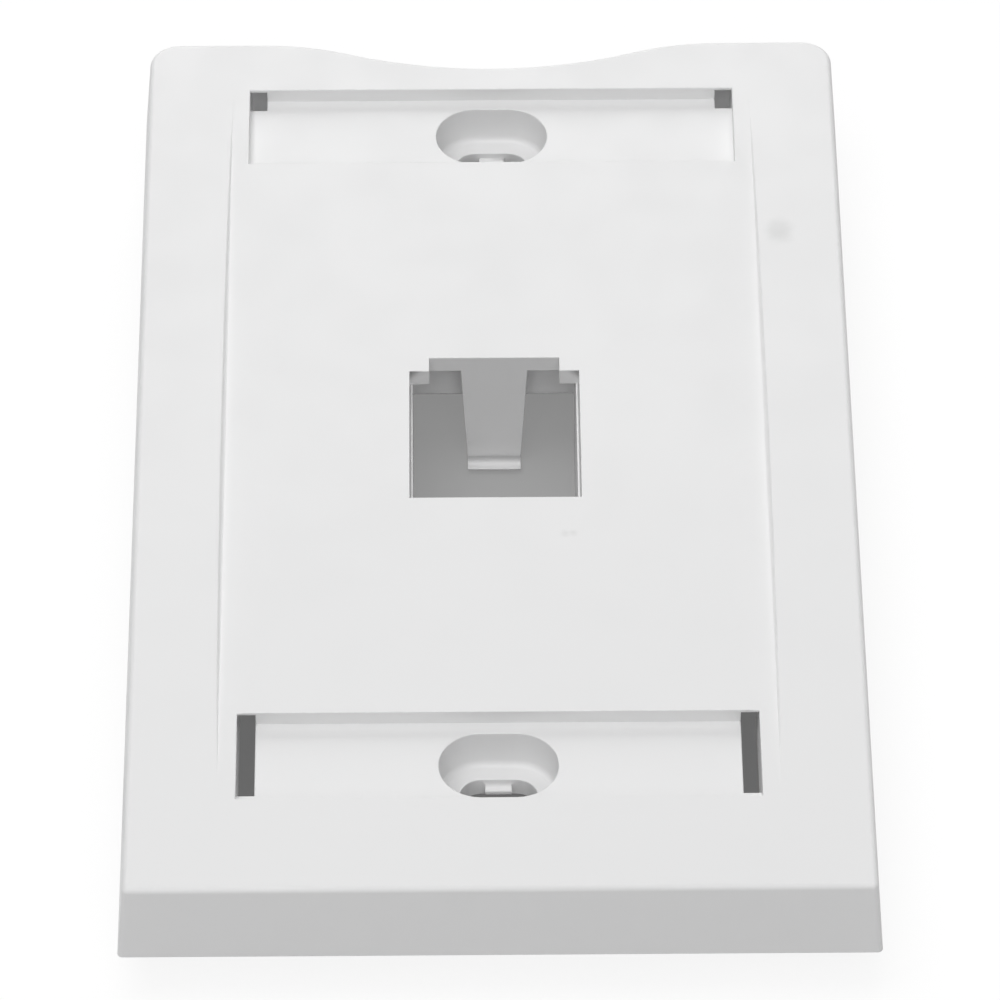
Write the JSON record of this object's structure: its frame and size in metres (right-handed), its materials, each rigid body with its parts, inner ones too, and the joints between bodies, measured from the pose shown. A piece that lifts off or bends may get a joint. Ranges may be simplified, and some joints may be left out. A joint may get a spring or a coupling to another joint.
{
  "type": "keystone faceplate",
  "caption": "Single-gang wall plate moulded in one piece, with a keystone port and its spring latch, recessed screw slots and label pockets.",
  "frame": {"origin": "midway between the two screw slots, in the plane of the rim's rear face, which bears on the wall", "axes": "+X across the plate, +Y up towards the finger notch, +Z out of the wall"},
  "size_m": [0.069, 0.1129, 0.0142],
  "materials": {
    "white_plastic": "fine satin white moulding"
  },
  "bodies": {
    "root": {"faceplate": "white_plastic"}
  },
  "joints": []
}
